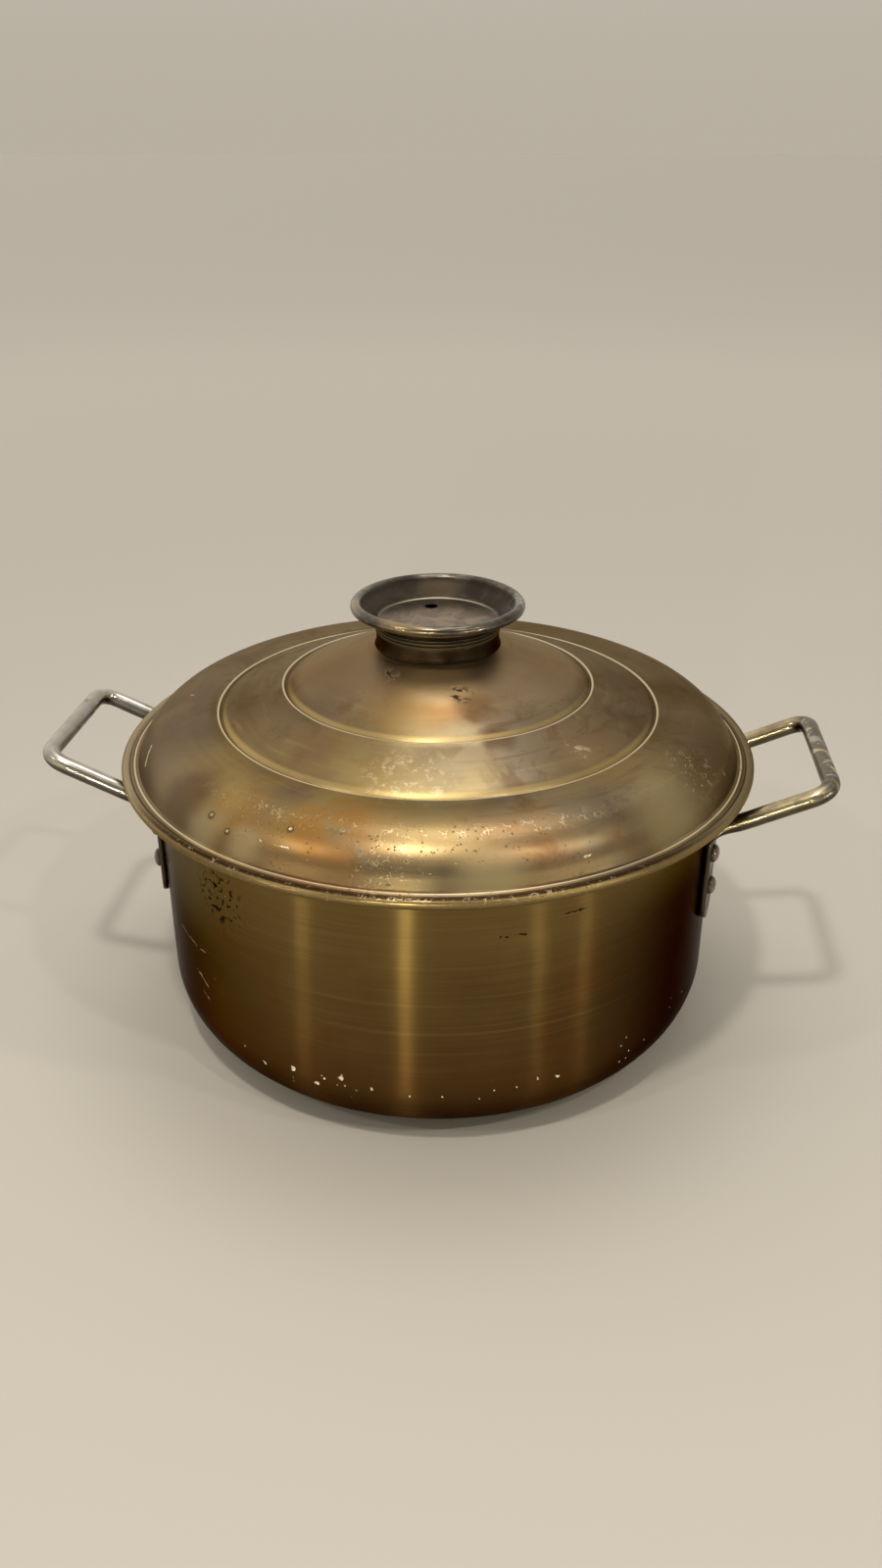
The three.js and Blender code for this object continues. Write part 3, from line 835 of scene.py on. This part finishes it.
    crumbs = m.band(m.cells(520), 0.32, 0.2)
    burnt = m.times(
        m.most(m.spot(place(-120, 43, 205), 4, 0.5), m.spot(place(-75, 53, 201), 5.5, 0.5)),
        m.band(m.noise(330, 3, seed=13), 0.5, 0.58),
    )
    pits_zone = m.most(
        m.spot(place(-96, 153, 161), 22, 0.5),
        m.times(m.ring(163.5, 3), 0.8),
        m.times(m.zone(m.radius, 120, 150), m.band(m.noise(20, 2, seed=17), 0.5, 0.6)),
    )
    pits = m.times(crumbs, pits_zone, m.band(m.noise(260, 3, 0.6, seed=19), 0.52, 0.58))
    m.paint(pits, 0.7, (0.16, 0.08, 0.03))
    flecks_zone = m.most(
        m.times(m.ring(140, 3.5), m.zone(m.y, -95, -125)),
        m.spot(place(-95, 154, 160), 13, 0.6),
        m.times(m.ring(164, 2), m.zone(m.y, -110, -140)),
        m.times(m.spot(place(-28, 146, 168), 16, 0.5), 0.9),
        m.times(m.spot(place(-98, 104, 181), 15, 0.6), 0.7),
    )
    flecks = m.times(m.band(m.noise(760, 4, 0.75, seed=27), 0.6, 0.65), flecks_zone)
    webs = m.cells(400, m.rough_place(2, 300), "DISTANCE_TO_EDGE")
    crackle = m.times(m.band(webs, 0.1, 0.04), m.band(m.noise(230, 3, 0.6, seed=12), 0.54, 0.6))
    flecks = m.most(flecks, m.times(crackle, flecks_zone))
    m.paint(flecks, 0.48, (0.75, 0.65, 0.43))
    m.paint(burnt, 1, (0.018, 0.01, 0.006))
    glints = [
        (-130, 151, 165, 1.6), (-125, 153, 162, 1.3), (-113, 146, 169, 1.4), (-53, 59, 198, 0.8),
        (-45, 70, 194, 0.7), (-28, 73, 192, 0.9), (-36, 72, 192, 0.7), (-60, 110, 179, 0.8),
    ]  # degrees, radius, height and size
    # each small mark gets a dark rim and a painted highlight a little above its middle, also raised in the bump
    dark_glint_rims = m.most(*[m.spot(place(a, r, z), size * 1.3, 0.4) for a, r, z, size in glints])
    m.paint(dark_glint_rims, 0.75, (0.1, 0.055, 0.025))
    painted_glints = m.most(*[m.spot(place(a, r, z + 0.3 * size), size * 0.55, 0.5) for a, r, z, size in glints])
    torn = m.rough_place(3, 180)
    scratches = m.strokes(
        torn,
        ((-162, 150, 166), (-158, 155, 160), 0.8),
        ((177, 123, 178), (180, 132, 175), 0.7),
        ((-24, 141, 171), (-27, 152, 163), 0.7),
        ((-29, 138, 172), (-31, 146, 168), 0.6),
        ((-19, 146, 168), (-20, 154, 161), 0.7),
        ((-62, 154, 160), (-50, 150, 165), 0.45),
        ((-112, 152, 163), (-119, 152, 163), 0.5),
    )
    stain = m.times(m.spot(place(-45, 101, 183), 6, 0.5, ragged), m.band(fine, 0.5, 0.6))
    dried = m.times(m.spot(place(-93, 104, 181), 17, 0.7, ragged), m.band(fine, 0.54, 0.64))
    # pale marks: real scratches and dried stains, together with the painted glints
    light = m.most(painted_glints, scratches, m.times(stain, 0.6), m.times(dried, 0.35))
    m.paint(light, 0.75, (0.85, 0.76, 0.55))

    rough = m.plus(m.times(blotch, 0.2), m.times(cloud, 0.1))
    rough = m.plus(rough, m.plus(0.2, m.times(m.most(burnt, pits, pale, dusk), 0.16)), clamp=True)
    normal = m.bump(turned, 0.14, 0.05)
    normal = m.bump(m.minus(burnt, m.most(pits, painted_glints, scratches)), 0.6, 0.35, normal)
    normal = m.bump(fine, 0.05, 0.08, normal)
    metallic = m.minus(1, m.times(burnt, 0.8), clamp=True)
    return m.finish(rough, normal, metallic)


def inside_brass():
    """The inside of the pot and lid: paler scoured brass with turning rings and water marks."""
    m = Metal("inside_brass", anisotropy=0.5)
    turned = m.noise(1, 2, 0.6, vector=m.turning(9, 900, m.plus(m.radius, m.z)))
    cloud = m.noise(12, 4, 0.6, warp=0.5, seed=23)
    marks = m.noise(45, 4, 0.6, seed=29)
    m.colour = m.blend(m.band(cloud, 0.35, 0.68), (0.46, 0.34, 0.17), (0.6, 0.46, 0.24))
    m.paint(m.band(marks, 0.55, 0.7), 0.5, (0.3, 0.19, 0.08))
    tide = m.zone(m.math("ABSOLUTE", m.minus(m.z, 96 * MM)), 5, 1)
    m.paint(m.times(tide, 0.4, m.band(marks, 0.4, 0.6)), 1, (0.24, 0.15, 0.07))
    rough = m.plus(0.24, m.times(cloud, 0.22), clamp=True)
    return m.finish(rough, m.bump(turned, 0.2, 0.06))


def knob_metal():
    """The dish: stained grey steel, browned in places, with water marks on its right side, painted shade in its
    bowl and a painted highlight at the back of its floor.
    """
    m = Metal("knob_metal")
    cloud = m.noise(45, 4, 0.6, warp=0.6, seed=31)
    blotch = m.noise(95, 4, 0.6, warp=1, seed=37)
    fine = m.noise(600, 3, 0.6, seed=41)
    m.colour = m.blend(m.band(cloud, 0.36, 0.66), (0.1, 0.092, 0.08), (0.22, 0.205, 0.178))
    m.paint(m.band(blotch, 0.48, 0.62), 0.75, (0.085, 0.06, 0.04))
    streaks = m.noise(70, 4, 0.65, vector=m.scaled(1, 3, 3), warp=1.4, seed=33)
    m.paint(m.band(streaks, 0.55, 0.66), 0.6, (0.3, 0.27, 0.22))
    ragged = m.rough_place(7, 120)
    gold = m.stains(
        ragged,
        (-112, 43, 228, 11, 0.6, 0.9), (-165, 43, 228, 8, 0.6, 0.5),
    )
    m.paint(gold, 0.8, (0.42, 0.33, 0.19))
    burnt = m.stains(
        ragged,
        (118, 39, 227, 7, 0.5, 1), (62, 38, 226, 6, 0.5, 1), (-125, 33, 222, 5, 0.6, 0.6),
        (15, 37, 225, 7, 0.6, 0.7),
    )
    m.paint(burnt, 0.85, (0.035, 0.03, 0.035))
    lime = m.times(m.spot(place(2, 42, 228), 11, 0.6, ragged), m.band(fine, 0.47, 0.6))
    m.paint(lime, 0.65, (0.62, 0.62, 0.58))
    floor = m.times(m.zone(m.radius, 31, 29), m.zone(m.z, 224, 222))
    m.paint(floor, 0.75, (0.3, 0.22, 0.145))
    m.paint(m.times(floor, m.band(blotch, 0.42, 0.56)), 0.8, (0.14, 0.11, 0.08))
    # painted shade: the bowl's inner wall darkened against the lamp's highlight there, a little less dark in a
    # patch at the back, and rougher
    bowl = m.times(m.zone(m.radius, 30.5, 32), m.zone(m.radius, 40.5, 38.5))
    m.paint(bowl, 0.8, (0.035, 0.028, 0.02))
    patch = m.times(bowl, m.spot(place(92, 36, 225), 9, 0.5, ragged))
    m.paint(patch, 0.8, (0.06, 0.045, 0.028))
    # painted highlight on the back of the floor's rounded edge
    m.paint(m.times(m.ring(30.2, 0.7), m.zone(m.y, 12, 27)), 0.85, (0.62, 0.57, 0.47))
    vent = m.spot(Vector((*VENT_PLACE, 221)) * MM, VENT_RADIUS + 0.8, 0.12)
    m.paint(vent, 0.85, (0.05, 0.04, 0.025))
    rough = m.plus(0.12, m.plus(m.times(cloud, 0.12), m.times(blotch, 0.14)))
    rough = m.plus(rough, m.times(m.most(lime, burnt, bowl), 0.3), clamp=True)
    normal = m.bump(blotch, 0.12, 0.3)
    normal = m.bump(fine, 0.08, 0.08, normal)
    return m.finish(rough, normal)


def collar_metal():
    """The knob's neck: brass gone almost black, paler from its lower ring up."""
    m = Metal("collar_metal", edge_tint=(0.5, 0.38, 0.26))
    cloud = m.noise(60, 4, 0.6, seed=43)
    fine = m.noise(700, 3, 0.6, seed=47)
    m.colour = m.blend(m.band(cloud, 0.4, 0.65), (0.016, 0.01, 0.006), (0.04, 0.026, 0.014))
    top = COLLAR_BOX[1].z
    worn = m.band(m.z, top - 5.2 * MM, top - 3.6 * MM)
    m.paint(worn, 0.45, (0.19, 0.15, 0.1))
    rough = m.plus(0.32, m.times(cloud, 0.2), clamp=True)
    return m.finish(rough, m.bump(fine, 0.12, 0.1))


def handle_chrome():
    """The handles: nickel plate with a brown film and fine scratches, painted dark underneath as shade, and
    painted yellower on the right one as a warm reflection.
    """
    m = Metal("handle_chrome")
    cloud = m.noise(38, 4, 0.6, warp=0.8, seed=53)
    film = m.noise(55, 5, 0.6, warp=0.8, seed=59)
    facing = m.node("ShaderNodeSeparateXYZ", {0: m.node("ShaderNodeNewGeometry").outputs["Normal"]}).outputs[2]
    fine = m.noise(900, 3, 0.6, seed=61)
    # painted reflection: the right handle is yellower, standing in for warm light reflected in it
    yellow = m.zone(m.x, -50, 50)
    clean = m.blend(yellow, (0.56, 0.54, 0.49), (0.6, 0.53, 0.35))
    dull = m.blend(yellow, (0.33, 0.315, 0.28), (0.3, 0.25, 0.15))
    m.colour = m.blend(m.band(cloud, 0.4, 0.64), clean, dull)
    m.paint(m.band(film, 0.5, 0.66), 0.6, (0.12, 0.095, 0.06))
    outer_bar = m.zone(m.math("ABSOLUTE", m.x), 192, 198)
    worn = m.noise(75, 4, 0.6, warp=1, seed=67)
    grey = m.times(outer_bar, m.band(worn, 0.38, 0.46))
    m.paint(grey, 0.85, m.blend(yellow, (0.43, 0.41, 0.38), (0.1, 0.088, 0.078)))
    m.paint(m.times(outer_bar, m.band(worn, 0.56, 0.62)), 0.7, (0.5, 0.48, 0.43))
    near_wall = m.zone(m.radius, 174, 160)
    m.paint(near_wall, 0.88, (0.07, 0.05, 0.034))
    # painted shade: dark on the rods' undersides, standing in for a dark floor reflected there, its edge broken
    # up by the film
    grime_and_painted_shade = m.band(m.plus(facing, m.times(film, 0.3)), 0.5, 0.05)
    m.paint(grime_and_painted_shade, 0.85, (0.045, 0.033, 0.024))
    scratches = m.band(m.noise(1, 2, 0.7, vector=m.scaled(900, 120, 900), seed=71), 0.66, 0.72)
    m.paint(scratches, 0.4, (0.7, 0.68, 0.62))
    rough = m.plus(0.13, m.plus(m.times(cloud, 0.12), m.times(m.band(film, 0.45, 0.7), 0.22)))
    rough = m.plus(rough, m.times(m.most(grey, near_wall), 0.12), clamp=True)
    normal = m.bump(film, 0.05, 0.15)
    normal = m.bump(fine, 0.05, 0.04, normal)
    return m.finish(rough, normal)


def rivet_metal():
    """The rivets: dull grey steel, with grime around the edge of each head."""
    m = Metal("rivet_metal")
    cloud = m.noise(260, 4, 0.6, seed=73)
    m.colour = m.blend(m.band(cloud, 0.38, 0.66), (0.2, 0.168, 0.135), (0.34, 0.3, 0.255))
    grime_and_painted_shade = m.zone(m.plus(m.radius, m.times(cloud, 1.2 * MM)), 4.2, 5.6)
    m.paint(grime_and_painted_shade, 0.85, (0.035, 0.025, 0.018))
    rough = m.plus(0.26, m.times(cloud, 0.25), clamp=True)
    return m.finish(rough, m.bump(cloud, 0.25, 0.25))


# ---------------- the object
def finish_piece(piece, body, slot, materials, *nodes):
    for material in materials:
        piece.data.materials.append(material)
    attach(piece, body)
    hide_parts(*nodes)


def inner_faces_to(piece, is_inside):
    """Gives the faces that lie inside the piece its second material."""
    for face in piece.data.polygons:
        if is_inside(face.center / MM, face.normal):
            face.material_index = 1


def inside_pot(centre, normal):
    faces_in = normal.z - normal.xy.dot(centre.xy.normalized()) > 0.1
    return faces_in and centre.xy.length < POT_RADIUS - WALL + 0.9


def inside_lid(centre, normal):
    return normal.z < 0 and centre.xy.length < SHOULDER_RADIUS + 4


inside = inside_brass()

pot = build_pot()
finish_piece(pot, "pot", "pot_brass", [wall_brass(), inside], "pot_body")
inner_faces_to(pot, inside_pot)

lid = build_lid()
finish_piece(lid, "lid", "lid_brass", [lid_brass(), inside], "lid_shell")
inner_faces_to(lid, inside_lid)

finish_piece(build_collar(), "lid", "collar_metal", [collar_metal()], "knob_collar")
finish_piece(build_dish(), "lid", "knob_metal", [knob_metal()], "knob_dish")

chrome = handle_chrome()
rivet_steel = rivet_metal()
for side, turn in (("right", 0.0), ("left", math.pi)):
    handle = build_handle(f"rod_handle_{side}", turn)
    finish_piece(handle, "pot", "handle_chrome", [chrome], f"handle_{side}")
    for end in ("front", "back"):
        lean = -PADDLE_ANGLE if end == "front" else PADDLE_ANGLE
        angle = lean if side == "right" else math.pi - lean
        for level, height in RIVET_HEIGHTS.items():
            node = f"rivet_{side}_{end}_{level}"
            rivet = build_rivet(f"domed_{node}", angle, height)
            finish_piece(rivet, "pot", "rivet_metal", [rivet_steel], node)


# ---------------- floor, light and camera
FLOOR_HALF = 40.0  # metres, so that its edge melts into the backdrop
# painted light: the floor grows paler with distance from the pot, making up for the lamps' light falling off,
# so that it meets the backdrop evenly
FLOOR_NEAR, FLOOR_FAR = (0.54, 0.52, 0.49, 1), (0.84, 0.82, 0.78, 1)
FADE_FROM, FADE_TO = 0.3, 2.5  # metres from the pot over which the floor grows paler
FRONT_LIGHT, BACK_LIGHT = (0.3, 0.27, 0.23), (0.95, 0.87, 0.75)
HORIZON, ZENITH = (0.48, 0.43, 0.357), (0.78, 0.74, 0.67)
LIGHT_TARGET = (0, 0, 0.12)  # the middle of the pot
LAMPS = {  # place in metres, width, watts and colour
    "key": ((-0.095, -0.604, 1.55), 0.11, 7.2, (1.0, 0.92, 0.78)),
    "soft_overhead": ((0.09, 0.254, 1.8), 0.85, 6.3, (1.0, 0.95, 0.87)),
    "lamp_right": ((0.735, -0.82, 1.4), 0.06, 3, (1.0, 0.9, 0.74)),
    "lamp_far_right": ((1.329, -0.665, 1.4), 0.06, 3, (1.0, 0.9, 0.74)),
    "lamp_left": ((-1.159, -1.0, 1.5), 0.08, 3.5, (1.0, 0.92, 0.8)),
}
LOW_LAMPS = {-98: 0.4, -51: 0.12, -33: 0.13, -136: 0.15}  # degrees around the pot, and watts
LOW_LAMP_PLACE = (2600, 260)  # millimetres out and up
LOW_LAMP_WIDTH = 0.05
LOW_LAMP_COLOUR = (0.98, 0.93, 0.64)
LOW_LAMP_SPREAD = 24  # degrees, so that it doesn't light the floor
CAMERA_AZIMUTH, CAMERA_PITCH, CAMERA_PAN = 5.8, 26.93, 0.15  # degrees around, down and to the right
CAMERA_DISTANCE, CAMERA_HEIGHT = 0.6227, 0.4413  # metres
CAMERA_LENS, CAMERA_SENSOR = 29.25, 36


def build_floor():
    corners = [(x * FLOOR_HALF, y * FLOOR_HALF, 0) for x, y in ((-1, -1), (1, -1), (1, 1), (-1, 1))]
    floor = new_object("floor", corners, [(0, 1, 2, 3)])
    material = bpy.data.materials.new("pale_floor")
    material.use_nodes = True
    tree = material.node_tree
    shader = tree.nodes["Principled BSDF"]
    shader.inputs["Roughness"].default_value = 0.75
    coords = add_node(tree, "ShaderNodeTexCoord")
    away = add_node(tree, "ShaderNodeVectorMath", {0: coords.outputs["Object"]}, operation="LENGTH")
    inputs = {"Value": away.outputs["Value"], "From Min": FADE_FROM, "From Max": FADE_TO}
    share = add_node(tree, "ShaderNodeMapRange", inputs, interpolation_type="SMOOTHSTEP")
    shade = add_node(tree, "ShaderNodeValToRGB", {0: share.outputs["Result"]})
    shade.color_ramp.elements[0].color = FLOOR_NEAR
    shade.color_ramp.elements[1].color = FLOOR_FAR
    tree.links.new(shade.outputs["Color"], shader.inputs["Base Color"])
    floor.data.materials.append(material)


def add_light(name, location, size, watts, colour, spread=180):
    data = bpy.data.lights.new(name, "AREA")
    data.shape = "ELLIPSE"
    data.size = data.size_y = size
    data.energy = watts
    data.color = colour
    data.spread = math.radians(spread)
    light = bpy.data.objects.new(name, data)
    light.location = location
    light.rotation_euler = (Vector(LIGHT_TARGET) - Vector(location)).to_track_quat("-Z", "Y").to_euler()
    bpy.context.scene.collection.objects.link(light)


def build_lights():
    for name, lamp in LAMPS.items():
        add_light(name, *lamp)
    for degrees, watts in LOW_LAMPS.items():
        location = place(degrees, *LOW_LAMP_PLACE)
        add_light(f"low_lamp_{-degrees}", location, LOW_LAMP_WIDTH, watts, LOW_LAMP_COLOUR, LOW_LAMP_SPREAD)


def build_world():
    """Soft light all round: pale behind the pot, dim in front, and a plain gradient where the camera looks."""
    world = bpy.data.worlds.new("studio")
    bpy.context.scene.world = world
    world.use_nodes = True
    tree = world.node_tree
    tree.nodes.clear()

    def ramp(value, low, high, **settings):
        inputs = {"Value": value, "From Min": low, "From Max": high}
        return add_node(tree, "ShaderNodeMapRange", inputs, **settings)

    def background(share, a, b, strength=1.0):
        inputs = {MIX_FACTOR: share.outputs["Result"], MIX_A: a, MIX_B: b}
        colour = add_node(tree, "ShaderNodeMix", inputs, data_type="RGBA").outputs[MIX_RESULT]
        return add_node(tree, "ShaderNodeBackground", {"Color": colour, "Strength": strength}).outputs[0]

    direction = add_node(tree, "ShaderNodeTexCoord").outputs["Generated"]
    x, y, z = add_node(tree, "ShaderNodeSeparateXYZ", {0: direction}).outputs
    side = ramp(x, -0.7, 0.7)
    side.inputs["To Min"].default_value = 1.1
    side.inputs["To Max"].default_value = 0.55
    back = ramp(y, -0.6, 0.5, interpolation_type="SMOOTHSTEP")
    climb = ramp(z, 0.0, 0.5, interpolation_type="SMOOTHSTEP")
    light = background(back, FRONT_LIGHT, BACK_LIGHT, side.outputs["Result"])
    backdrop = background(climb, HORIZON, ZENITH)
    seen = add_node(tree, "ShaderNodeLightPath").outputs["Is Camera Ray"]
    choose = add_node(tree, "ShaderNodeMixShader", {0: seen, 1: light, 2: backdrop})
    add_node(tree, "ShaderNodeOutputWorld", {"Surface": choose.outputs[0]})


def build_camera():
    data = bpy.data.cameras.new("camera")
    data.sensor_width = CAMERA_SENSOR
    data.lens = CAMERA_LENS
    camera = bpy.data.objects.new("camera", data)
    azimuth = math.radians(CAMERA_AZIMUTH)
    camera.location = (CAMERA_DISTANCE * math.sin(azimuth), -CAMERA_DISTANCE * math.cos(azimuth), CAMERA_HEIGHT)
    camera.rotation_euler = (math.radians(90 - CAMERA_PITCH), 0, azimuth - math.radians(CAMERA_PAN))
    bpy.context.scene.collection.objects.link(camera)
    bpy.context.scene.camera = camera


build_floor()
build_world()
build_lights()
build_camera()
bpy.context.scene.view_settings.view_transform = "Standard"
